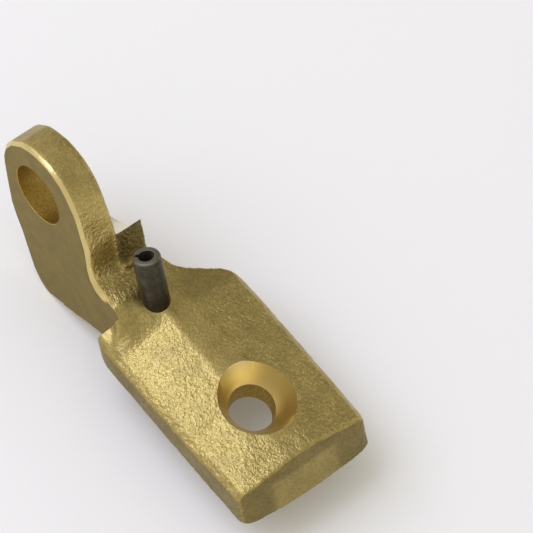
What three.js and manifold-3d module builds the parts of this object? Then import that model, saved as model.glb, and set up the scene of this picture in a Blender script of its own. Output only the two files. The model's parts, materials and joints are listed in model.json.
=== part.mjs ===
// Cast brass door hinge half: a crowned pad with one countersunk screw hole,
// a neck, and an upright lug with a round eye. A slotted spring pin stands in
// the neck. Millimetres, +Z up. The origin is the centre of the screw hole on
// the mounting face; the pad's free end points along +X and the eye along Y.

import * as THREE from 'three';
import { mergeVertices } from 'three/addons/utils/BufferGeometryUtils.js';
import Module from 'manifold-3d';

const wasm = await Module();
wasm.setup();

// The casting is drawn from its mould along a line that leans back from the
// mounting face by this angle. The lug, the block and the pin follow it.
const drawAngle = THREE.MathUtils.degToRad(24.4);

// Pad
const padWidth = 27;
const padFront = 15.3;
const padBulge = 0.96;
const padCorner = 1.6;
const padRearLeft = -23.6;
const padRearRight = -19.3;
const shoulderHeight = 5.0;
const shoulderRound = 1.0;
const crownHeight = 7.8;

// Screw hole
const screwRadius = 3.9;
const screwLand = 3.4;
const sinkRadius = 6.8;

// Eye and lug. Places on the lug are measured from the eye's centre, u forward
// and v up along the draw line.
const eyeX = -46.9;
const eyeZ = 15.8;
const eyeRadius = 5.55;
const lugNear = -9.5;
const lugThickness = 6.35;
const lugRound = 0.6;
const lugTop = 10.2;
const lugFoot = -24.85;

// Block behind the lug, scooped clear of the mating half's barrel
const blockFront = 10.7;
const blockRear = -4.5;
const blockWidth = 5.75;
const scoopRadius = 12.7;

// Spring pin, pressed into the neck
const pinRadius = 2.38;
const pinWall = 1.05;
const pinSlot = 0.7;
const pinSlotTurn = THREE.MathUtils.degToRad(222);
const pinChamfer = 0.45;
const pinLength = 16;
const pinProud = 10.2;
const pinU = 18.3;
const pinY = -2.4;
const pinSeat = -17.3;
const pinGap = 0.05;

const curveSteps = 10;
const roundSteps = 64;

const lugFar = lugNear + lugThickness;
const blockFar = lugFar + blockWidth;

// A closed triangle mesh as a manifold solid
function solid(geometry) {
  const bare = geometry.index ? geometry.toNonIndexed() : geometry.clone();
  bare.deleteAttribute('normal');
  bare.deleteAttribute('uv');
  const welded = mergeVertices(bare, 1e-4);
  const vertProperties = new Float32Array(welded.attributes.position.array);
  const triVerts = new Uint32Array(welded.index.array);
  const mesh = new wasm.Mesh({ numProp: 3, vertProperties, triVerts });
  return new wasm.Manifold(mesh);
}

// A manifold solid as a three.js geometry
function geometryOf(body) {
  const mesh = body.getMesh();
  const geometry = new THREE.BufferGeometry();
  const places = new THREE.BufferAttribute(new Float32Array(mesh.vertProperties), 3);
  geometry.setAttribute('position', places);
  geometry.setIndex(new THREE.BufferAttribute(new Uint32Array(mesh.triVerts), 1));
  const faceted = geometry.toNonIndexed();
  faceted.computeVertexNormals();
  return faceted;
}

// Turns a geometry from the lug's own axes (u, y, v) into the part's axes
function leaned(geometry) {
  geometry.rotateY(-drawAngle);
  geometry.translate(eyeX, 0, eyeZ);
  return geometry;
}

// Part axes of a point given in the lug's axes
function placed(u, v) {
  const x = eyeX + Math.cos(drawAngle) * u - Math.sin(drawAngle) * v;
  const z = eyeZ + Math.sin(drawAngle) * u + Math.cos(drawAngle) * v;
  return new THREE.Vector2(x, z);
}

// Extrudes an outline drawn in (x, z) from one y to another
function acrossY(shape, fromY, toY, round) {
  const settings = { depth: toY - fromY, bevelEnabled: false, curveSegments: curveSteps };
  if (round > 0) {
    settings.depth = toY - fromY - 2 * round;
    settings.bevelEnabled = true;
    settings.bevelThickness = round;
    settings.bevelSize = round;
    settings.bevelOffset = -round;
    settings.bevelSegments = 3;
  }
  const geometry = new THREE.ExtrudeGeometry(shape, settings);
  geometry.rotateX(Math.PI / 2);
  geometry.translate(0, toY - round, 0);
  return geometry;
}

// A round bar along Y, centred on (x, z)
function barY(radius, x, z, fromY, toY) {
  const bar = new THREE.CylinderGeometry(radius, radius, toY - fromY, roundSteps);
  bar.translate(x, (fromY + toY) / 2, z);
  return bar;
}

// Pad and neck seen square to the mounting face
function planShape() {
  const half = padWidth / 2;
  const plan = new THREE.Shape();
  plan.moveTo(padRearLeft - 8, lugNear);
  plan.lineTo(padRearLeft - 2.8, lugNear);
  plan.quadraticCurveTo(padRearLeft - 1.4, lugNear - 0.3, padRearLeft - 0.7, lugNear - 2.2);
  plan.quadraticCurveTo(padRearLeft, -half, padRearLeft + 2.2, -half);
  plan.lineTo(padFront - padCorner, -half);
  plan.quadraticCurveTo(padFront, -half, padFront + 0.2, -half + padCorner);
  plan.quadraticCurveTo(padFront + 2 * padBulge - 0.2, 0, padFront + 0.2, half - padCorner);
  plan.quadraticCurveTo(padFront, half, padFront - padCorner, half);
  plan.lineTo(padRearRight + 2.2, half);
  plan.quadraticCurveTo(padRearRight, half, padRearRight - 0.6, half - 1.7);
  plan.lineTo(padRearRight - 3.4, blockFar + 3.2);
  plan.quadraticCurveTo(padRearRight - 4.3, blockFar + 1.3, padRearRight - 6.8, blockFar + 0.9);
  plan.lineTo(padRearRight - 8.9, blockFar);
  plan.lineTo(padRearLeft - 8, blockFar);
  plan.closePath();
  return plan;
}

// Underside, pad end and neck seen from the side
function sideShape() {
  const rear = placed(blockFront - 4, lugFoot);
  const meet = placed((-lugFoot * Math.cos(drawAngle) - eyeZ) / Math.sin(drawAngle), lugFoot);
  const side = new THREE.Shape();
  side.moveTo(rear.x, rear.y);
  side.lineTo(meet.x, 0);
  side.lineTo(padFront + 4, 0);
  side.lineTo(padFront + 4, crownHeight + 4);
  side.lineTo(rear.x, crownHeight + 4);
  side.closePath();
  return side;
}

// Pad section across its width: flat walls, rounded shoulders, crowned top
function sectionShape() {
  const half = padWidth / 2;
  const slope = (crownHeight - shoulderHeight - shoulderRound) / half;
  const edge = shoulderHeight + shoulderRound * slope;
  const section = new THREE.Shape();
  section.moveTo(-half - 1, -8);
  section.lineTo(half + 1, -8);
  section.lineTo(half + 1, shoulderHeight - 2);
  section.lineTo(half, shoulderHeight - 2);
  section.lineTo(half, shoulderHeight - 0.6);
  section.quadraticCurveTo(half, edge, half - shoulderRound, edge + 0.2);
  section.lineTo(3, crownHeight - 0.35);
  section.quadraticCurveTo(0, crownHeight + 0.35, -3, crownHeight - 0.35);
  section.lineTo(-half + shoulderRound, edge + 0.2);
  section.quadraticCurveTo(-half, edge, -half, shoulderHeight - 0.6);
  section.lineTo(-half, shoulderHeight - 2);
  section.lineTo(-half - 1, shoulderHeight - 2);
  section.closePath();
  return section;
}

// Crowned pad with the neck's root
function padSolid() {
  const flat = { depth: crownHeight + 12, bevelEnabled: false, curveSegments: curveSteps };
  const plan = new THREE.ExtrudeGeometry(planShape(), flat);
  plan.translate(0, 0, -6);
  const shear = new THREE.Matrix4().makeShear(0, 0, 0, 0, -Math.tan(drawAngle), 0);
  plan.applyMatrix4(shear);
  const side = acrossY(sideShape(), -padWidth, padWidth, 0);
  const long = { depth: 90, bevelEnabled: false, curveSegments: curveSteps };
  const section = new THREE.ExtrudeGeometry(sectionShape(), long);
  section.rotateX(Math.PI / 2);
  section.rotateZ(Math.PI / 2);
  section.translate(-60, 0, 0);
  return solid(plan).intersect(solid(side)).intersect(solid(section));
}

// Lug seen along the eye
function lugShape() {
  const lug = new THREE.Shape();
  lug.moveTo(-3.8, lugFoot);
  lug.lineTo(15, lugFoot);
  lug.lineTo(21.5, lugFoot + 1);
  lug.lineTo(21.8, -17.8);
  lug.quadraticCurveTo(19.5, -15.2, 16.5, -14.7);
  lug.quadraticCurveTo(11.4, -14.9, 11.1, -11.5);
  lug.bezierCurveTo(11.3, -8, 11.9, -6, 11.4, -1);
  lug.bezierCurveTo(11.2, 3, 9.6, 5.2, 7.3, 7.7);
  lug.bezierCurveTo(5.2, 9.6, 2.5, lugTop + 0.1, -0.5, lugTop);
  lug.bezierCurveTo(-4.6, 10, -8.6, 7.6, -8.9, 2.4);
  lug.bezierCurveTo(-9.2, -1, -9.9, -4, -9.8, -7.1);
  lug.bezierCurveTo(-9.6, -9.8, -8.4, -12, -8.25, -15.1);
  lug.bezierCurveTo(-8, -19, -7.6, lugFoot, -3.8, lugFoot);
  return lug;
}

// Block behind the lug seen along the eye, before it is scooped
function blockShape() {
  const block = new THREE.Shape();
  block.moveTo(blockRear + 3, lugFoot);
  block.lineTo(15, lugFoot);
  block.lineTo(21, lugFoot + 1);
  block.lineTo(21, -18.4);
  block.lineTo(14.2, -16.6);
  block.quadraticCurveTo(blockFront, -15.6, blockFront, -12.4);
  block.lineTo(blockFront, -5);
  block.lineTo(blockRear, -5);
  block.lineTo(blockRear, lugFoot + 3);
  block.quadraticCurveTo(blockRear, lugFoot, blockRear + 3, lugFoot);
  return block;
}

// Countersunk screw hole, drawn about the Z axis
function screwTool() {
  const rise = sinkRadius - screwRadius;
  const profile = [
    new THREE.Vector2(0, -2),
    new THREE.Vector2(screwRadius, -2),
    new THREE.Vector2(screwRadius, screwLand),
    new THREE.Vector2(sinkRadius, screwLand + rise),
    new THREE.Vector2(sinkRadius, crownHeight + 3),
    new THREE.Vector2(0, crownHeight + 3),
  ];
  const tool = new THREE.LatheGeometry(profile, roundSteps);
  tool.rotateX(Math.PI / 2);
  return tool;
}

// Brass casting
function castingMesh() {
  const lug = leaned(acrossY(lugShape(), lugNear, lugFar, lugRound));
  const block = leaned(acrossY(blockShape(), lugFar - 2, blockFar, 0.3));
  const scoop = leaned(barY(scoopRadius, 0, 0, lugFar, blockFar + 4));
  const eye = leaned(barY(eyeRadius, 0, 0, lugNear - 3, blockFar + 3));
  const seat = new THREE.CylinderGeometry(pinRadius + pinGap, pinRadius + pinGap, pinLength, roundSteps);
  seat.rotateX(Math.PI / 2);
  seat.translate(pinU, pinY, pinSeat + pinProud - pinLength / 2);
  const body = padSolid()
    .add(solid(lug))
    .add(solid(block).subtract(solid(scoop)))
    .subtract(solid(eye))
    .subtract(solid(screwTool()))
    .subtract(solid(leaned(seat)));
  const brass = new THREE.MeshStandardMaterial({ color: 0xa08b4c, roughness: 0.45, metalness: 1 });
  const mesh = new THREE.Mesh(geometryOf(body), brass);
  mesh.name = 'hinge_casting';
  return mesh;
}

// Slotted spring pin
function pinMesh() {
  const inner = pinRadius - pinWall;
  const low = pinSeat + pinProud - pinLength;
  const high = pinSeat + pinProud;
  const profile = [
    new THREE.Vector2(inner, low),
    new THREE.Vector2(pinRadius - pinChamfer * 0.6, low),
    new THREE.Vector2(pinRadius, low + pinChamfer),
    new THREE.Vector2(pinRadius, high - pinChamfer),
    new THREE.Vector2(pinRadius - pinChamfer * 0.6, high),
    new THREE.Vector2(inner, high),
    new THREE.Vector2(inner, low),
  ];
  const tube = new THREE.LatheGeometry(profile, roundSteps);
  tube.rotateX(Math.PI / 2);
  const slot = new THREE.BoxGeometry(pinRadius + 1, pinSlot, pinLength + 2);
  slot.translate((pinRadius + 1) / 2, 0, low + pinLength / 2);
  slot.rotateZ(pinSlotTurn);
  const body = solid(tube).subtract(solid(slot));
  const steel = new THREE.MeshStandardMaterial({ color: 0x3c372e, roughness: 0.5, metalness: 1 });
  const placedPin = geometryOf(body);
  placedPin.translate(pinU, pinY, 0);
  const mesh = new THREE.Mesh(leaned(placedPin), steel);
  mesh.name = 'spring_pin';
  return mesh;
}

const hinge = new THREE.Group();
hinge.name = 'door_hinge_half';
hinge.add(castingMesh());
hinge.add(pinMesh());

export default hinge;
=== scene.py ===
import bpy
import json
import math
from mathutils import Matrix, Vector


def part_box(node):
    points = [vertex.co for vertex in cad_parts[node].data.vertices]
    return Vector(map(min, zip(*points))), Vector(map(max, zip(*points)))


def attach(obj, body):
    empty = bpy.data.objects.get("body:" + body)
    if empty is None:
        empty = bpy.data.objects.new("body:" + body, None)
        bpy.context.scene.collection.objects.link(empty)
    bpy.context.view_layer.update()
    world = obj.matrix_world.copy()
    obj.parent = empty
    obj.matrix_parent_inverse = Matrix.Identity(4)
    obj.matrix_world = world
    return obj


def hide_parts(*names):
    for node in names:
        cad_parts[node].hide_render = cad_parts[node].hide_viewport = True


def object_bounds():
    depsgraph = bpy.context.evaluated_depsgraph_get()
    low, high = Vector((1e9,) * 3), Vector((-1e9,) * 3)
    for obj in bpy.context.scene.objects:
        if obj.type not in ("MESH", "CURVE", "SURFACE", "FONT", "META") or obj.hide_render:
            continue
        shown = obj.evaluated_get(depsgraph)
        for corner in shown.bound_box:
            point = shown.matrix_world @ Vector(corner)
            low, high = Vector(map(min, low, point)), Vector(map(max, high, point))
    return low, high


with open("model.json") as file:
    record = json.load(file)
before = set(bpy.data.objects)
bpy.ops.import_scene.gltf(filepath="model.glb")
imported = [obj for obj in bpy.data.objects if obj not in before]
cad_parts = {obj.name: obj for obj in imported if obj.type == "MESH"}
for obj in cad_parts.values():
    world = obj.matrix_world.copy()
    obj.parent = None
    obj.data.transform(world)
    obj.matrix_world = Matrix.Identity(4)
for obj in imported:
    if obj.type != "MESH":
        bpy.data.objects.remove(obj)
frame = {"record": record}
cadLow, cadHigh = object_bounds()
mm = 0.001
record = frame["record"]
mounts = {m["name"]: m for m in record["mounts"]}
openings = {o["name"]: o["box_m"] for o in record["physics"]["openings"]}

eyeBox = openings["eye"]
eyeX = (eyeBox[0][0] + eyeBox[1][0]) / 2 / mm
eyeZ = (eyeBox[0][2] + eyeBox[1][2]) / 2 / mm
lugNear = mounts["lug_face"]["pos_m"][1] / mm
lugFar = mounts["lug_back_face"]["pos_m"][1] / mm
castLow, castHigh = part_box("hinge_casting")
padHalf = castHigh.y / mm
drawAngle = math.radians(24.4)  # the lug, the block and the pin lean back with the mould's draw
drawTan = math.tan(drawAngle)
print("frame loaded, eye at", round(eyeX, 2), round(eyeZ, 2))


# small helpers

def linearColour(hexText):
    parts = [int(hexText[i:i + 2], 16) / 255 for i in (1, 3, 5)]
    return [p / 12.92 if p <= 0.04045 else ((p + 0.055) / 1.055) ** 2.4 for p in parts] + [1.0]


def atPad(x, y, z):
    return Vector((x, y, z)) * mm


def atLug(u, y, v):  # u forward and v up along the draw, both from the eye's centre
    x = eyeX + math.cos(drawAngle) * u - math.sin(drawAngle) * v
    z = eyeZ + math.sin(drawAngle) * u + math.cos(drawAngle) * v
    return Vector((x, y, z)) * mm


def deselectAll():
    active = bpy.context.view_layer.objects.active
    if active and active.mode != "OBJECT":
        bpy.ops.object.mode_set(mode="OBJECT")
    bpy.ops.object.select_all(action="DESELECT")


def selectOnly(piece):
    deselectAll()
    piece.select_set(True)
    bpy.context.view_layer.objects.active = piece


def pick(piece, kind, test):  # selects the faces, edges or vertices whose middle passes the test, in edit mode
    selectOnly(piece)
    bpy.ops.object.mode_set(mode="EDIT")
    bpy.ops.mesh.select_mode(type=kind)
    bpy.ops.mesh.select_all(action="DESELECT")
    bpy.ops.object.mode_set(mode="OBJECT")
    mesh = piece.data
    for item in {"FACE": mesh.polygons, "EDGE": mesh.edges, "VERT": mesh.vertices}[kind]:
        if kind == "FACE":
            item.select = test(item.center / mm, item.normal)
        elif kind == "EDGE":
            a, b = (mesh.vertices[i].co / mm for i in item.vertices)
            item.select = test((a + b) / 2, (b - a).normalized())
        else:
            item.select = test(item.co / mm, None)
    bpy.ops.object.mode_set(mode="EDIT")


def traceLoop(name, points, closed=True):  # an outline drawn by extruding one vertex from point to point
    deselectAll()
    bpy.ops.mesh.primitive_plane_add(size=mm, location=points[0])
    piece = bpy.context.object
    piece.name = name
    bpy.ops.object.transform_apply(location=True)
    bpy.ops.object.mode_set(mode="EDIT")
    bpy.ops.mesh.select_mode(type="VERT")
    bpy.ops.mesh.merge(type="CENTER")
    for a, b in zip(points, points[1:]):
        bpy.ops.mesh.extrude_region_move(TRANSFORM_OT_translate={"value": b - a})
    if closed:
        bpy.ops.mesh.select_all(action="SELECT")
        bpy.ops.mesh.edge_face_add()
    return piece


def traceSolid(name, points, depth):
    piece = traceLoop(name, points)
    bpy.ops.mesh.extrude_region_move(TRANSFORM_OT_translate={"value": depth})
    bpy.ops.mesh.select_all(action="SELECT")
    bpy.ops.mesh.normals_make_consistent(inside=False)
    bpy.ops.object.mode_set(mode="OBJECT")
    return piece


def finishWith(piece, kind, **settings):  # one modifier, applied
    selectOnly(piece)
    modifier = piece.modifiers.new(kind.lower(), kind)
    for key, value in settings.items():
        setattr(modifier, key, value)
    bpy.ops.object.modifier_apply(modifier=modifier.name)


def combine(piece, tool, operation):
    finishWith(piece, "BOOLEAN", object=tool, operation=operation, solver="MANIFOLD", material_mode="TRANSFER")
    bpy.data.objects.remove(tool)


def roundBar(name, radius, start, end, sides=96):  # a cylinder from one point to another
    deselectAll()
    along = end - start
    bpy.ops.mesh.primitive_cylinder_add(vertices=sides, radius=radius * mm, depth=along.length,
                                        location=(start + end) / 2,
                                        rotation=along.to_track_quat("Z", "Y").to_euler())
    bar = bpy.context.object
    bar.name = name
    bpy.ops.object.transform_apply(location=True, rotation=True, scale=True)
    return bar


def addNode(tree, kind, links=None, **settings):
    node = tree.nodes.new(kind)
    for key, value in settings.items():
        if hasattr(node, key):
            setattr(node, key, value)
        else:
            node.inputs[key.replace("_", " ")].default_value = value
    for target, source in (links or {}).items():
        tree.links.new(source, node.inputs[target])
    return node


# materials

def newMaterial(name):
    material = bpy.data.materials.new(name)
    material.use_nodes = True
    tree = material.node_tree
    tree.nodes.clear()
    output = addNode(tree, "ShaderNodeOutputMaterial")
    shader = addNode(tree, "ShaderNodeBsdfPrincipled")
    tree.links.new(shader.outputs["BSDF"], output.inputs["Surface"])
    place = addNode(tree, "ShaderNodeTexCoord").outputs["Object"]
    return material, tree, shader, place


castBrassLook = {
    "bare": "#b5a162",      # sand-cast brass, tumbled: warm olive yellow
    "worn": "#bba76a",      # high spots rubbed clean
    "aged": "#ad9959",      # tarnish in the low spots
    "grainSize": 0.26,      # mm, the sand's own grain in the skin
    "pebbleSize": 0.5,      # mm, the coarser pebbling on the pad's slopes
    "lumpSize": 4.0,        # mm, the slow change of tone across the skin
    "roughness": 0.36,
    "grainHeight": 0.09,    # mm
    "pebbleHeight": 0.17,   # mm
    "fileLine": 0.25,       # mm between the file's strokes on the lug's rim
}


def sandCastBrass():  # metal cast in sand: a fine pebbled skin that glints, filed smooth round the lug's rim; its colour also carries painted shade and painted light from an attribute
    look = castBrassLook
    material, tree, shader, place = newMaterial("sand-cast brass")
    coarse = addNode(tree, "ShaderNodeAttribute", attribute_name="coarse").outputs["Fac"]
    filed = addNode(tree, "ShaderNodeAttribute", attribute_name="filed").outputs["Fac"]
    # this attribute is painted shade on the walls, the end and the block's front, and painted light at the lug's foot
    painted_shade = addNode(tree, "ShaderNodeAttribute", attribute_name="painted_shade").outputs["Fac"]
    grain = addNode(tree, "ShaderNodeTexNoise", {"Vector": place}, Scale=1 / (look["grainSize"] * mm),
                    Detail=2.0, Roughness=0.5).outputs["Fac"]
    pebble = addNode(tree, "ShaderNodeTexNoise", {"Vector": place}, Scale=1 / (look["pebbleSize"] * mm),
                     Detail=2.0, Roughness=0.5).outputs["Fac"]
    lumps = addNode(tree, "ShaderNodeTexNoise", {"Vector": place}, Scale=1 / (look["lumpSize"] * mm),
                    Detail=3.0, Roughness=0.6).outputs["Fac"]
    stretched = addNode(tree, "ShaderNodeMapping", {"Vector": place}, Scale=(1.0, 0.08, 1.0))
    strokes = addNode(tree, "ShaderNodeTexNoise", {"Vector": stretched.outputs["Vector"]},
                      Scale=1 / (look["fileLine"] * mm), Detail=3.0, Roughness=0.6).outputs["Fac"]
    tone = addNode(tree, "ShaderNodeValToRGB", {"Fac": pebble})
    tone.color_ramp.elements[0].position = 0.36
    tone.color_ramp.elements[0].color = linearColour(look["aged"])
    tone.color_ramp.elements[1].position = 0.64
    tone.color_ramp.elements[1].color = linearColour(look["worn"])
    middle = tone.color_ramp.elements.new(0.5)
    middle.color = linearColour(look["bare"])
    patches = addNode(tree, "ShaderNodeMapRange", {"Value": lumps}, From_Min=0.3, From_Max=0.7,
                      To_Min=0.84, To_Max=1.08).outputs["Result"]
    # painted shade darkens the colour where the attribute is high; its values below zero at the lug's foot lighten it
    # as painted light
    paintedShading = addNode(tree, "ShaderNodeMapRange", {"Value": painted_shade}, To_Min=1.0, To_Max=0.3, clamp=False).outputs["Result"]
    shade = addNode(tree, "ShaderNodeMath", {0: patches, 1: paintedShading}, operation="MULTIPLY").outputs[0]
    mixed = addNode(tree, "ShaderNodeMixRGB", {"Color1": tone.outputs["Color"], "Color2": shade},
                    blend_type="MULTIPLY", Fac=1.0)
    tree.links.new(mixed.outputs["Color"], shader.inputs["Base Color"])
    gloss = addNode(tree, "ShaderNodeMapRange", {"Value": grain}, From_Min=0.3, From_Max=0.7,
                    To_Min=look["roughness"] + 0.06, To_Max=look["roughness"] - 0.06)
    rubbed = addNode(tree, "ShaderNodeMapRange", {"Value": filed}, To_Min=0.0, To_Max=0.04)
    smoother = addNode(tree, "ShaderNodeMath", {0: gloss.outputs["Result"], 1: rubbed.outputs["Result"]},
                       operation="SUBTRACT")
    tree.links.new(smoother.outputs[0], shader.inputs["Roughness"])
    skinDepth = addNode(tree, "ShaderNodeMapRange", {"Value": coarse}, To_Min=0.4, To_Max=1.0).outputs["Result"]
    skin = addNode(tree, "ShaderNodeBump", {"Height": grain, "Strength": skinDepth},
                   Distance=look["grainHeight"] * mm)
    pebbleDepth = addNode(tree, "ShaderNodeMapRange", {"Value": coarse}, To_Min=0.2, To_Max=1.0).outputs["Result"]
    pebbles = addNode(tree, "ShaderNodeBump",
                      {"Height": pebble, "Strength": pebbleDepth, "Normal": skin.outputs["Normal"]},
                      Distance=look["pebbleHeight"] * mm)
    stroked = addNode(tree, "ShaderNodeBump",
                      {"Height": strokes, "Strength": filed, "Normal": pebbles.outputs["Normal"]},
                      Distance=0.12 * mm)
    tree.links.new(stroked.outputs["Normal"], shader.inputs["Normal"])
    shader.inputs["Metallic"].default_value = 1.0
    return material


groundBrassLook = {
    "bare": "#8a7836",      # ground flat, then dulled by handling, and darkened further as painted shade for the dark reflection the near face shows
    "dull_and_shaded": "#7d6c30",
    "mottle": 2.2,          # mm
    "pinhole": 0.5,         # mm
    "roughness": 0.46,
}


def groundBrass():  # ground flat on a belt, then dulled: even and dark, the darkness partly painted shade, with a few bright pinholes
    look = groundBrassLook
    material, tree, shader, place = newMaterial("ground brass")
    mottle = addNode(tree, "ShaderNodeTexNoise", {"Vector": place}, Scale=1 / (look["mottle"] * mm),
                     Detail=4.0, Roughness=0.55)
    tone = addNode(tree, "ShaderNodeValToRGB", {"Fac": mottle.outputs["Fac"]})
    tone.color_ramp.elements[0].position = 0.35
    tone.color_ramp.elements[0].color = linearColour(look["dull_and_shaded"])
    tone.color_ramp.elements[1].position = 0.7
    tone.color_ramp.elements[1].color = linearColour(look["bare"])
    tree.links.new(tone.outputs["Color"], shader.inputs["Base Color"])
    pinholes = addNode(tree, "ShaderNodeTexNoise", {"Vector": place}, Scale=1 / (look["pinhole"] * mm), Detail=2.0)
    bump = addNode(tree, "ShaderNodeBump", {"Height": pinholes.outputs["Fac"]}, Strength=0.3, Distance=0.03 * mm)
    tree.links.new(bump.outputs["Normal"], shader.inputs["Normal"])
    shader.inputs["Roughness"].default_value = look["roughness"]
    shader.inputs["Metallic"].default_value = 1.0
    return material


cutBrassLook = {
    "bare": "#dac686",      # turned metal, a clean pale yellow
    "lineSize": 0.3,        # mm between the cutter's lines, coarse enough to show
    "roughness": 0.34,
}


def cutBrass():  # drilled and countersunk: cleaner, glossier metal with fine tool lines
    look = cutBrassLook
    material, tree, shader, place = newMaterial("machined brass")
    lines = addNode(tree, "ShaderNodeTexNoise", {"Vector": place}, Scale=1 / (look["lineSize"] * mm), Detail=2.0)
    bump = addNode(tree, "ShaderNodeBump", {"Height": lines.outputs["Fac"]}, Strength=0.3, Distance=0.05 * mm)
    tree.links.new(bump.outputs["Normal"], shader.inputs["Normal"])
    shader.inputs["Base Color"].default_value = linearColour(look["bare"])
    shader.inputs["Roughness"].default_value = look["roughness"]
    shader.inputs["Metallic"].default_value = 1.0
    return material


boreBrassLook = {
    "bare": "#c2a558",      # cored hole, left rough
    "aged": "#a5893e",
    "grainSize": 0.3,       # mm
    "roughness": 0.42,
}


def boreBrass():  # the cored eye, reamed lightly: grainy, and darker because light reaches it twice
    look = boreBrassLook
    material, tree, shader, place = newMaterial("cored brass")
    grain = addNode(tree, "ShaderNodeTexNoise", {"Vector": place}, Scale=1 / (look["grainSize"] * mm), Detail=3.0)
    tone = addNode(tree, "ShaderNodeValToRGB", {"Fac": grain.outputs["Fac"]})
    tone.color_ramp.elements[0].position = 0.38
    tone.color_ramp.elements[0].color = linearColour(look["aged"])
    tone.color_ramp.elements[1].position = 0.62
    tone.color_ramp.elements[1].color = linearColour(look["bare"])
    tree.links.new(tone.outputs["Color"], shader.inputs["Base Color"])
    bump = addNode(tree, "ShaderNodeBump", {"Height": grain.outputs["Fac"]}, Strength=0.8, Distance=0.06 * mm)
    tree.links.new(bump.outputs["Normal"], shader.inputs["Normal"])
    shader.inputs["Roughness"].default_value = look["roughness"]
    shader.inputs["Metallic"].default_value = 1.0
    return material


milledBrassLook = {
    "bare": "#e2ddc6",      # fly-cut and left bright, paled almost to silver beside the cast skin as a painted highlight
    "swirl": 0.35,          # mm
    "roughness": 0.3,
}


def milledBrass():  # the scoop beside the lug: a bright cut with faint swirls, its near-silver colour partly a painted highlight
    look = milledBrassLook
    material, tree, shader, place = newMaterial("milled brass")
    swirl = addNode(tree, "ShaderNodeTexNoise", {"Vector": place}, Scale=1 / (look["swirl"] * mm), Detail=2.0)
    bump = addNode(tree, "ShaderNodeBump", {"Height": swirl.outputs["Fac"]}, Strength=0.3, Distance=0.03 * mm)
    tree.links.new(bump.outputs["Normal"], shader.inputs["Normal"])
    shader.inputs["Base Color"].default_value = linearColour(look["bare"])
    shader.inputs["Roughness"].default_value = look["roughness"]
    shader.inputs["Metallic"].default_value = 1.0
    return material


springSteelLook = {
    "bare": "#39352b",      # oil-tempered strip, near black with a brown cast
    "rubbed": "#585243",
    "struckHighlight": "#7f796a",    # the end the hammer met, paled round the top rim as a painted highlight
    "patch": 1.6,           # mm
    "roughness": 0.42,
}


def springSteel():  # oil-blackened spring strip, rubbed paler where it was driven; the top rim's paleness is partly a painted highlight
    look = springSteelLook
    material, tree, shader, place = newMaterial("oiled spring steel")
    patch = addNode(tree, "ShaderNodeTexNoise", {"Vector": place}, Scale=1 / (look["patch"] * mm), Detail=5.0,
                    Roughness=0.65)
    tone = addNode(tree, "ShaderNodeValToRGB", {"Fac": patch.outputs["Fac"]})
    tone.color_ramp.elements[0].position = 0.42
    tone.color_ramp.elements[0].color = linearColour(look["bare"])
    tone.color_ramp.elements[1].position = 0.75
    tone.color_ramp.elements[1].color = linearColour(look["rubbed"])
    # painted highlight: the top rim is paled toward the struck colour, which also stands for the hammer's wear
    struck_rim_highlight = addNode(tree, "ShaderNodeAttribute", attribute_name="struck_rim_highlight").outputs["Fac"]
    mixed = addNode(tree, "ShaderNodeMixRGB", {"Fac": struck_rim_highlight, "Color1": tone.outputs["Color"]},
                    Color2=linearColour(look["struckHighlight"]))
    tree.links.new(mixed.outputs["Color"], shader.inputs["Base Color"])
    bump = addNode(tree, "ShaderNodeBump", {"Height": patch.outputs["Fac"]}, Strength=0.4, Distance=0.05 * mm)
    tree.links.new(bump.outputs["Normal"], shader.inputs["Normal"])
    shader.inputs["Roughness"].default_value = look["roughness"]
    shader.inputs["Metallic"].default_value = 1.0
    return material


castFinish = sandCastBrass()
groundFinish = groundBrass()
cutFinish = cutBrass()
boreFinish = boreBrass()
milledFinish = milledBrass()
steelFinish = springSteel()


def wear(piece, material):
    piece.data.materials.clear()
    piece.data.materials.append(material)


# the casting

casting = {
    "crown": 7.8,            # mm above the mounting face, along the middle
    "ridgeHalf": 2.6,        # half width of the crown's flat band
    "wallIn": 1.3,           # how far the shoulder stands in from the wall
    "stations": [            # x, left wall, left shoulder, right wall, right shoulder, crown
        (-40.0, 3.0, 4.2, 4.0, 5.4, 7.8),
        (-20.0, 3.2, 4.4, 4.2, 5.6, 7.9),
        (0.0, 4.0, 5.2, 4.4, 5.8, 7.9),
        (20.0, 5.2, 6.6, 4.4, 5.8, 7.8),
    ],
    "front": 15.3,
    "bulge": 0.96,
    "rearLeft": -23.6,
    "rearRight": -19.3,
    "lugFoot": -24.85,
    "eyeRadius": 5.55,
    "scoopRadius": 12.7,
    "blockFront": 10.7,
    "blockRear": -4.5,
    "blockFar": 2.6,
    "screwRadius": 4.05,
    "screwLand": 3.2,
    "holeRadius": 3.7,       # at the seat
    "sinkRadius": 6.8,
    "sinkStep": 5.3,         # where the cone steepens
    "sinkAhead": 0.6,        # the countersink was cut a little forward of the cored hole
    "edgeBreak": 0.65,        # mm
    "stock": 0.4,            # mm left on the lug's near face, ground off afterwards
    "voxel": 0.26,           # mm, fine enough for the sand's coarser grain
}

lugOutline = [
    (-3.8, -24.85), (-5.0, -24.2), (-6.2, -22.9), (-7.3, -20.6), (-7.8, -17.6), (-8.2, -15.1), (-8.5, -13.0),
    (-9.3, -9.9), (-9.75, -7.1), (-9.5, -2.3), (-9.1, 2.4), (-8.7, 4.2), (-7.6, 6.3), (-5.4, 8.5), (-2.1, 10.05),
    (0.3, 10.35), (2.6, 10.15), (4.8, 9.45), (6.6, 8.5), (8.2, 7.0), (9.3, 5.3), (10.1, 3.5), (10.9, 1.6),
    (11.3, -0.8), (11.45, -3.1), (11.75, -5.5), (11.6, -7.7), (11.3, -10.3), (11.45, -12.2), (12.2, -13.7),
    (13.6, -14.6), (15.4, -15.6), (16.6, -18.0), (16.6, -24.0), (16.0, -24.85),
]


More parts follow.
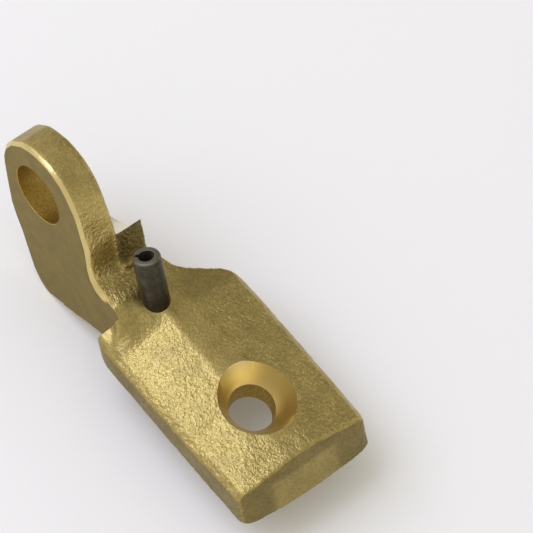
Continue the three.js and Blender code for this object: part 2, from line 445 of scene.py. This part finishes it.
def loftAlong(name, sections):  # sections across the pad, each (x, [(y, z), ...]), bridged into one closed bar
    loops = []
    for x, section in sections:
        loop = traceLoop(name, [atPad(x, y, z) for y, z in section])
        bpy.ops.mesh.select_mode(type="FACE")
        bpy.ops.mesh.select_all(action="SELECT")
        bpy.ops.mesh.delete(type="ONLY_FACE")
        bpy.ops.object.mode_set(mode="OBJECT")
        loops.append(loop)
    deselectAll()
    for loop in loops:
        loop.select_set(True)
    bpy.context.view_layer.objects.active = loops[0]
    bpy.ops.object.join()
    bar = bpy.context.object
    bpy.ops.object.mode_set(mode="EDIT")
    bpy.ops.mesh.select_mode(type="EDGE")
    bpy.ops.mesh.select_all(action="SELECT")
    bpy.ops.mesh.bridge_edge_loops()
    bpy.ops.mesh.select_all(action="SELECT")
    bpy.ops.mesh.fill_holes(sides=0)
    bpy.ops.mesh.select_all(action="SELECT")
    bpy.ops.mesh.normals_make_consistent(inside=False)
    bpy.ops.object.mode_set(mode="OBJECT")
    return bar


def padBlank():
    half = padHalf
    sections = []
    for x, wallL, shoulderL, wallR, shoulderR, crown in casting["stations"]:
        inward = casting["wallIn"]
        ridge = casting["ridgeHalf"]
        sections.append((x, [(-half - 0.5, -2.0), (half + 0.5, -2.0), (half, wallR), (half - inward, shoulderR),
                             (ridge, crown), (-ridge, crown), (-half + inward, shoulderL), (-half, wallL)]))
    crownBar = loftAlong("crown", sections)

    front, bulge = casting["front"], casting["bulge"]
    left, right, far = casting["rearLeft"], casting["rearRight"], casting["blockFar"]
    plan = [(left - 8, lugNear), (left - 2.8, lugNear), (left - 1.6, lugNear - 0.5), (left - 0.7, lugNear - 2.0),
            (left + 0.3, -half + 0.7), (left + 2.2, -half)]
    plan += [(front - 1.6, -half), (front - 0.4, -half + 0.35), (front + 0.2, -half + 1.6)]
    for step in range(-4, 5):
        y = (half - 2.6) * step / 4
        plan.append((front + 0.2 + (bulge - 0.2) * (1 - (y / half) ** 2), y))
    plan += [(front + 0.2, half - 1.6), (front - 0.4, half - 0.35), (front - 1.6, half)]
    plan += [(right + 2.2, half), (right + 0.4, half - 0.6), (right - 0.6, half - 1.9), (right - 3.2, far + 3.4),
             (right - 4.4, far + 1.8), (right - 6.8, far + 0.9), (right - 8.9, far), (left - 8, far)]
    low, high = -4.0, 14.0
    outline = [atPad(x - drawTan * low, y, low) for x, y in plan]
    planBar = traceSolid("plan", outline, atPad(-drawTan * (high - low), 0, high - low))
    combine(crownBar, planBar, "INTERSECT")

    foot = casting["lugFoot"]
    meet = (-foot * math.cos(drawAngle) - eyeZ) / math.sin(drawAngle)
    rear, seam = atLug(casting["blockFront"] - 4, 0, foot) / mm, atLug(meet, 0, foot) / mm
    side = [(rear.x, rear.z), (seam.x, 0), (seam.x + 0.5, -1.2), (30, -1.2), (30, 14), (rear.x, 14)]
    sideBar = traceSolid("side", [atPad(x, -20, z) for x, z in side], atPad(0, 40, 0))
    combine(crownBar, sideBar, "INTERSECT")
    return crownBar


saddle = [  # the neck's top, falling from the lug's foot to the pad: x, then (y, z) round each section
    (-30.5, [(-9.9, 2.0), (2.6, 2.0), (2.6, 7.2), (0.6, 8.1), (-2.4, 8.4), (-5.0, 8.6), (-7.5, 8.8), (-9.9, 8.9)]),
    (-25.5, [(-9.9, 2.0), (3.0, 2.0), (3.2, 7.2), (0.8, 8.1), (-2.4, 8.4), (-5.6, 8.8), (-8.0, 8.9), (-9.9, 8.6)]),
    (-23.2, [(-10.4, 2.0), (4.2, 2.0), (4.4, 7.0), (1.4, 8.1), (-2.4, 8.35), (-5.6, 8.3), (-8.2, 7.8), (-10.4, 6.8)]),
    (-21.4, [(-12.2, 1.5), (5.6, 1.5), (5.8, 6.8), (1.8, 8.1), (-2.4, 8.25), (-5.6, 7.8), (-8.8, 6.7), (-12.2, 4.8)]),
    (-19.2, [(-12.8, 1.5), (9.0, 1.5), (9.2, 6.4), (2.6, 8.0), (-2.4, 8.1), (-4.4, 7.5), (-8.0, 6.0), (-12.3, 4.5)]),
    (-16.5, [(-12.8, 1.5), (9.0, 1.5), (9.0, 6.3), (2.6, 7.9), (-2.6, 7.85), (-4.6, 7.15), (-8.0, 5.9), (-12.3, 4.4)]),
    (-14.0, [(-12.8, 1.5), (9.0, 1.5), (9.0, 6.0), (2.6, 7.7), (-2.6, 7.7), (-4.6, 7.0), (-8.0, 5.8), (-12.3, 4.3)]),
]


def lugBlank():
    stock = lugNear - casting["stock"]
    lug = traceSolid("lug", [atLug(u, stock, v) for u, v in lugOutline], atPad(0, lugFar - stock, 0))
    nearRim = lambda c, d: abs(d.y) < 0.1 and abs(c.y - stock) < 0.01
    pick(lug, "EDGE", nearRim)
    bpy.ops.mesh.bevel(offset=0.8 * mm, segments=1)
    bpy.ops.object.mode_set(mode="OBJECT")
    farRim = lambda c, d: abs(d.y) < 0.1 and abs(c.y - lugFar) < 0.01
    pick(lug, "EDGE", farRim)
    bpy.ops.mesh.bevel(offset=0.6 * mm, segments=2)
    bpy.ops.object.mode_set(mode="OBJECT")
    return lug


def blockBlank():
    front, rear, foot = casting["blockFront"], casting["blockRear"], casting["lugFoot"]
    outline = [(rear + 3, foot), (rear + 0.9, foot + 0.9), (rear, foot + 3), (rear, -4), (front, -4), (front, -12.6),
               (front + 0.6, -14.6), (front + 2.0, -16.0), (front + 4.2, -16.7), (20.5, -18.2), (20.5, foot + 1), (16, foot)]
    start = lugFar - 3
    depth = atPad(0, casting["blockFar"] - start, 0)
    return traceSolid("block", [atLug(u, start, v) for u, v in outline], depth)


def roughWeights(piece, name, weightOf):
    group = piece.vertex_groups.new(name=name)
    for vertex in piece.data.vertices:
        group.add([vertex.index], weightOf(vertex.co / mm), "REPLACE")
    return group.name


def smoothStep(low, high, value):
    t = max(0.0, min(1.0, (value - low) / (high - low)))  # falls instead of rising where low is above high
    return t * t * (3 - 2 * t)


def softness(p):  # the neck's fillets are generous, the lug's edges are nearly sharp
    neck = smoothStep(-36.0, -31.0, p.x) * (1 - smoothStep(-19.0, -15.0, p.x))
    pad = smoothStep(-22.0, -16.0, p.x)
    return max(0.1, 0.75 * neck * smoothStep(2.0, 5.0, p.z), 0.25 * pad)


def coarseSkin(p):  # the pad's two slopes came out of the sand rougher than the crown and the neck
    slope = smoothStep(1.6, 4.0, abs(p.y + 0.2))
    ahead = smoothStep(-22.0, -18.0, p.x)
    end = smoothStep(11.0, 13.0, p.x + 0.45 * p.z)
    foot = smoothStep(-40.0, -36.0, p.x) * (1 - smoothStep(-27.0, -24.0, p.x))
    return max(0.15, slope * ahead, 0.8 * end, foot)


def gateMark(p):  # where the casting's gate was ground off the end face
    ahead = smoothStep(13.4, 14.2, p.x + drawTan * p.z)
    return ahead * smoothStep(7.6, 5.6, abs(p.y + 0.4)) * smoothStep(5.8, 4.6, p.z)


def filedRim(p):  # the lug's rim was filed round by hand, down to the block
    u = math.cos(drawAngle) * (p.x - eyeX) + math.sin(drawAngle) * (p.z - eyeZ)
    v = -math.sin(drawAngle) * (p.x - eyeX) + math.cos(drawAngle) * (p.z - eyeZ)
    rim = smoothStep(-8.0, -2.0, v) * smoothStep(8.0, 9.0, math.hypot(u, v)) * smoothStep(-20.0, -30.0, p.x)
    return max(rim, gateMark(p))


def paintedShadeOf(p, n):  # painted shade: the walls, the end and the block's front are darkened for the way they face, so they stay darker than the top, and the neck's top a little; at the lug's foot it goes below zero as painted light
    pad = smoothStep(-29.0, -25.0, p.x)
    wall = 0.6 * pad * smoothStep(0.5, 0.1, n.z)
    end = 0.72 * smoothStep(0.5, 0.8, n.x) * smoothStep(8.0, 11.0, p.x) * (1 - 0.5 * gateMark(p))
    front = 0.75 * smoothStep(0.4, 0.8, n.x) * smoothStep(lugFar - 0.5, lugFar + 0.3, p.y) * smoothStep(-24.0, -28.0, p.x)
    neck = 0.2 * smoothStep(-33.0, -29.0, p.x) * smoothStep(-18.5, -20.5, p.x) * smoothStep(0.5, 0.8, n.z)
    foot = 0.6 * smoothStep(-40.0, -36.0, p.x) * smoothStep(-27.0, -29.0, p.x) * smoothStep(0.3, 0.7, n.x)
    return max(wall, end, front, neck) - foot * smoothStep(lugFar, lugFar - 0.8, p.y)


def paintAttribute(piece, name, weightOf):
    weights = [weightOf(vertex.co / mm, vertex.normal) for vertex in piece.data.vertices]
    piece.data.attributes.new(name, "FLOAT", "POINT").data.foreach_set("value", weights)


def noiseTexture(name, size, depth):
    texture = bpy.data.textures.new(name, "CLOUDS")
    texture.noise_scale = size * mm
    texture.noise_depth = depth
    return texture


def castBody():
    parts = [padBlank(), loftAlong("saddle", saddle), lugBlank(), blockBlank()]
    deselectAll()
    for part in parts:
        part.select_set(True)
    bpy.context.view_layer.objects.active = parts[0]
    bpy.ops.object.join()
    body = bpy.context.object
    body.name = "casting"
    body.vertex_groups.clear()
    finishWith(body, "REMESH", mode="VOXEL", voxel_size=0.36 * mm)
    group = roughWeights(body, "soft", softness)
    finishWith(body, "SMOOTH", factor=0.5, iterations=18, vertex_group=group)
    finishWith(body, "REMESH", mode="VOXEL", voxel_size=casting["voxel"] * mm)
    finishWith(body, "SMOOTH", factor=0.5, iterations=2)
    print("body of", len(body.data.polygons), "faces")
    group = roughWeights(body, "coarse", coarseSkin)
    finishWith(body, "DISPLACE", texture=noiseTexture("swell", 6.0, 1), texture_coords="LOCAL",
               strength=0.3 * mm, mid_level=0.5)
    finishWith(body, "DISPLACE", texture=noiseTexture("dimples", 0.7, 1), texture_coords="LOCAL",
               strength=0.16 * mm, mid_level=0.5, vertex_group=group)
    wear(body, castFinish)
    return body


def screwTool():
    radius, land, wide = casting["screwRadius"], casting["screwLand"], casting["sinkRadius"]
    step, crown = casting["sinkStep"], casting["crown"]
    profile = [(0, land - 1), (radius - 1, land - 1), (radius, land), (step, land + 1.5), (wide, crown - 0.1),
               (wide + 0.9, crown + 0.8), (wide + 0.9, crown + 5), (0, crown + 5)]
    return spunTool("screw tool", [atPad(r + casting["sinkAhead"], 0, z) for r, z in profile],
                    atPad(casting["sinkAhead"], 0, 0), (0, 0, 1))


def holeTool():  # the cored hole narrows towards the seat
    low, high = casting["holeRadius"], casting["screwRadius"]
    profile = [(0, -3), (low, -3), (low, 0), (high, casting["screwLand"]), (high, 9), (0, 9)]
    return spunTool("hole tool", [atPad(r, 0, z) for r, z in profile], atPad(0, 0, 0), (0, 0, 1))


def spunTool(name, profile, center, axis):
    tool = traceLoop(name, profile, closed=False)
    bpy.ops.mesh.select_all(action="SELECT")
    bpy.ops.mesh.spin(steps=96, angle=2 * math.pi, center=center, axis=axis)
    bpy.ops.mesh.select_all(action="SELECT")
    bpy.ops.mesh.remove_doubles(threshold=0.001 * mm)
    bpy.ops.mesh.normals_make_consistent(inside=False)
    bpy.ops.object.mode_set(mode="OBJECT")
    return tool


def eyeTool():
    radius, broken = casting["eyeRadius"], 0.1  # the eye's mouths have their edges broken
    near, far = lugNear, lugFar
    profile = [(0, near - 3), (radius + broken + 3, near - 3), (radius + broken, near), (radius, near + broken),
               (radius, far - broken), (radius + broken, far), (radius + broken + 3, far + 3), (0, far + 3)]
    return spunTool("eye tool", [atLug(r, y, 0) for r, y in profile], atLug(0, 0, 0), (0, 1, 0))


def slab(name, low, high):  # a plain block for grinding a face flat
    deselectAll()
    bpy.ops.mesh.primitive_cube_add(size=1, location=(low + high) / 2, scale=high - low)
    block = bpy.context.object
    block.name = name
    bpy.ops.object.transform_apply(location=True, scale=True)
    return block


def edgeTrim():  # breaks the lug's near edge with one flat chamfer, down to the foot
    wide = casting["edgeBreak"]
    inner = traceSolid("lug trim", [atLug(u, lugNear - 0.01, v) for u, v in lugOutline], atPad(0, 4, 0))
    rim = lambda c, d: abs(d.y) < 0.1 and abs(c.y - lugNear) < 0.05
    pick(inner, "EDGE", rim)
    bpy.ops.mesh.bevel(offset=wide * mm, segments=1)
    bpy.ops.object.mode_set(mode="OBJECT")
    cover = [(-14, -28), (-2, -28), (6, -15.2), (14.6, -15.2), (17, -9), (17, 14), (-14, 14)]
    plate = traceSolid("edge plate", [atLug(u, lugNear - 2, v) for u, v in cover], atPad(0, 2 + wide, 0))
    combine(plate, inner, "DIFFERENCE")
    wear(plate, cutFinish)
    return plate


def machine(body):
    seam = atLug((-casting["lugFoot"] * math.cos(drawAngle) - eyeZ) / math.sin(drawAngle), 0, casting["lugFoot"])
    grinding = slab("seat", Vector((seam.x, -30 * mm, -12 * mm)), Vector((30 * mm, 30 * mm, 0)))
    wear(grinding, groundFinish)
    combine(body, grinding, "DIFFERENCE")
    cheek = traceSolid("cheek", [atLug(u, lugNear - 8, v) for u, v in
                                 [(-20, -40), (14.7, -40), (14.7, -21.0), (17.9, -16.2), (18.3, 30), (-20, 30)]],
                       atPad(0, 8, 0))
    wear(cheek, groundFinish)
    combine(body, cheek, "DIFFERENCE")
    combine(body, edgeTrim(), "DIFFERENCE")
    scoop = roundBar("scoop", casting["scoopRadius"], atLug(0, lugFar - 0.02, 0), atLug(0, casting["blockFar"] + 6, 0), 128)
    wear(scoop, milledFinish)
    combine(body, scoop, "DIFFERENCE")
    eye = eyeTool()
    wear(eye, boreFinish)
    combine(body, eye, "DIFFERENCE")
    hole = holeTool()
    wear(hole, boreFinish)
    combine(body, hole, "DIFFERENCE")
    screw = screwTool()
    wear(screw, cutFinish)
    combine(body, screw, "DIFFERENCE")
    print("machined")


# the spring pin

pin = {
    "radius": 2.38,
    "wall": 1.05,
    "slot": 0.7,
    "slotTurn": math.radians(222),   # the way the slot looks, from forward towards +Y
    "chamfer": 0.45,
    "length": 16.0,
    "proud": 10.2,
    "u": 18.3,
    "y": -2.4,
    "seat": -17.3,
}


def pinHole(body):
    low = pin["seat"] + pin["proud"] - pin["length"]
    bore = roundBar("bore", pin["radius"] + 0.02, atLug(pin["u"], pin["y"], low), atLug(pin["u"], pin["y"], 5), 64)
    wear(bore, cutFinish)
    combine(body, bore, "DIFFERENCE")


def springPin():
    low = atLug(pin["u"], pin["y"], pin["seat"] + pin["proud"] - pin["length"])
    high = atLug(pin["u"], pin["y"], pin["seat"] + pin["proud"])
    along = (high - low).normalized()
    tube = roundBar("spring-pin", pin["radius"], low, high, 72)
    ends = lambda c, n: abs(n.dot(along)) > 0.9
    pick(tube, "FACE", ends)
    bpy.ops.mesh.inset(thickness=pin["wall"] * mm)
    bpy.ops.mesh.bridge_edge_loops()
    bpy.ops.object.mode_set(mode="OBJECT")

    def radial(c):
        offset = c * mm - low
        return (offset - along * offset.dot(along)).length / mm

    rims = lambda c, d: abs(d.dot(along)) < 0.1 and radial(c) > pin["radius"] - 0.1
    pick(tube, "EDGE", rims)
    bpy.ops.mesh.bevel(offset=pin["chamfer"] * mm, segments=2, profile=0.5)
    bpy.ops.object.mode_set(mode="OBJECT")
    bores = lambda c, d: abs(d.dot(along)) < 0.1 and radial(c) < pin["radius"] - pin["wall"] + 0.05
    pick(tube, "EDGE", bores)
    bpy.ops.mesh.bevel(offset=0.12 * mm, segments=2)
    bpy.ops.object.mode_set(mode="OBJECT")

    turn = pin["slotTurn"]
    outward = (atLug(math.cos(turn), math.sin(turn), 0) - atLug(0, 0, 0)).normalized()
    slotHalf = pin["slot"] / 2 * mm
    across = along.cross(outward)
    base = low - along * mm - across * slotHalf
    corners = [base, base + across * 2 * slotHalf, base + across * 2 * slotHalf + outward * 4 * mm,
               base + outward * 4 * mm]
    slit = traceSolid("slit", corners, along * (pin["length"] + 2) * mm)
    combine(tube, slit, "DIFFERENCE")
    finishWith(tube, "BEVEL", width=0.06 * mm, segments=2, limit_method="ANGLE", angle_limit=math.radians(50))
    wear(tube, steelFinish)
    top = (high - low).length / mm
    # paler top rim: a painted highlight, and the hammer's wear
    paintAttribute(tube, "struck_rim_highlight", lambda p, n: 0.8 * smoothStep(top - 0.55, top - 0.15, (p * mm - low).dot(along) / mm))
    return tube


body = castBody()
machine(body)
pinHole(body)
body.vertex_groups.clear()
selectOnly(body)
bpy.ops.object.shade_smooth_by_angle(angle=math.radians(38))
pick(body, "FACE", lambda c, n: n.y < -0.999 and abs(c.y - lugNear) < 0.01 or n.z < -0.999 and abs(c.z) < 0.01)
bpy.ops.mesh.faces_shade_flat()
bpy.ops.object.mode_set(mode="OBJECT")
paintAttribute(body, "coarse", lambda p, n: coarseSkin(p) * (1 - 0.9 * gateMark(p)))
paintAttribute(body, "filed", lambda p, n: filedRim(p))
# painted shade by facing direction, and painted light at the lug's foot
paintAttribute(body, "painted_shade", paintedShadeOf)
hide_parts("hinge_casting")
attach(body, "root")
print("casting of", len(body.data.polygons), "faces")

tube = springPin()
selectOnly(tube)
bpy.ops.object.shade_smooth_by_angle(angle=math.radians(38))
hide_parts("spring_pin")
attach(tube, "root")
print("spring pin of", len(tube.data.polygons), "faces")


# floor, lights and camera

studio = {
    "floor": "#f7f5ef",
    "floorSize": 4.0,        # m
    "world": 0.75,           # the wall's brightness on the key's side, and opposite it
    "worldFar": 0.36,
    "worldTint": "#fffbf2",
    "key": 3.0,              # W
    "keyTint": "#d6deff",
    "fill": 0.3,
    "rim": 0.5,
}

deselectAll()
bpy.ops.mesh.primitive_plane_add(size=studio["floorSize"], location=(0, 0, cadLow.z))
floor = bpy.context.object
floor.name = "floor"
paper, tree, shader, place = newMaterial("matt white paper")
shader.inputs["Base Color"].default_value = linearColour(studio["floor"])
shader.inputs["Roughness"].default_value = 0.9
wear(floor, paper)

world = bpy.data.worlds.new("studio")
bpy.context.scene.world = world
world.use_nodes = True
sky = world.node_tree
sky.nodes["Background"].inputs["Color"].default_value = linearColour(studio["worldTint"])
direction = addNode(sky, "ShaderNodeTexCoord").outputs["Generated"]
sideways = addNode(sky, "ShaderNodeSeparateXYZ", {"Vector": direction}).outputs["Y"]
dimming = addNode(sky, "ShaderNodeMapRange", {"Value": sideways}, From_Min=-0.1, From_Max=0.8,
                  To_Min=studio["world"], To_Max=studio["worldFar"])
sky.links.new(dimming.outputs["Result"], sky.nodes["Background"].inputs["Strength"])
bpy.context.scene.view_settings.view_transform = "Standard"

aim = atPad(-18.134, 17.163, 6.252)


def softbox(name, direction, distance, width, height, power, tint):
    deselectAll()
    place = aim + Vector(direction).normalized() * distance
    bpy.ops.object.light_add(type="AREA", location=place)
    lamp = bpy.context.object
    lamp.name = name
    lamp.data.shape = "RECTANGLE"
    lamp.data.size = width
    lamp.data.size_y = height
    lamp.data.energy = power
    lamp.data.color = linearColour(tint)[:3]
    lamp.rotation_euler = (aim - place).to_track_quat("-Z", "Y").to_euler()
    return lamp


softbox("overhead softbox", (-0.45, -0.45, 0.87), 0.7, 0.6, 0.5, studio["key"], studio["keyTint"])
softbox("front fill", (0.9, 0.2, 0.35), 0.8, 0.4, 0.3, studio["fill"], studio["keyTint"])

softbox("rim light", (0.15, 0.95, 0.45), 0.8, 0.12, 0.3, studio["rim"], studio["worldTint"])

right = Vector((0.62148, 0.77543, 0.11168))
up = Vector((-0.71779, 0.50647, 0.47776))
back = right.cross(up).normalized()
up = back.cross(right).normalized()
right.normalize()
deselectAll()
bpy.ops.object.camera_add(location=aim + back * 1.51468)
camera = bpy.context.object
camera.name = "camera"
turn = Matrix((right, up, back)).transposed()
camera.rotation_euler = turn.to_euler()
camera.data.sensor_width = 36
camera.data.lens = 620.28
camera.data.clip_start = 0.05
camera.data.clip_end = 20
bpy.context.scene.camera = camera
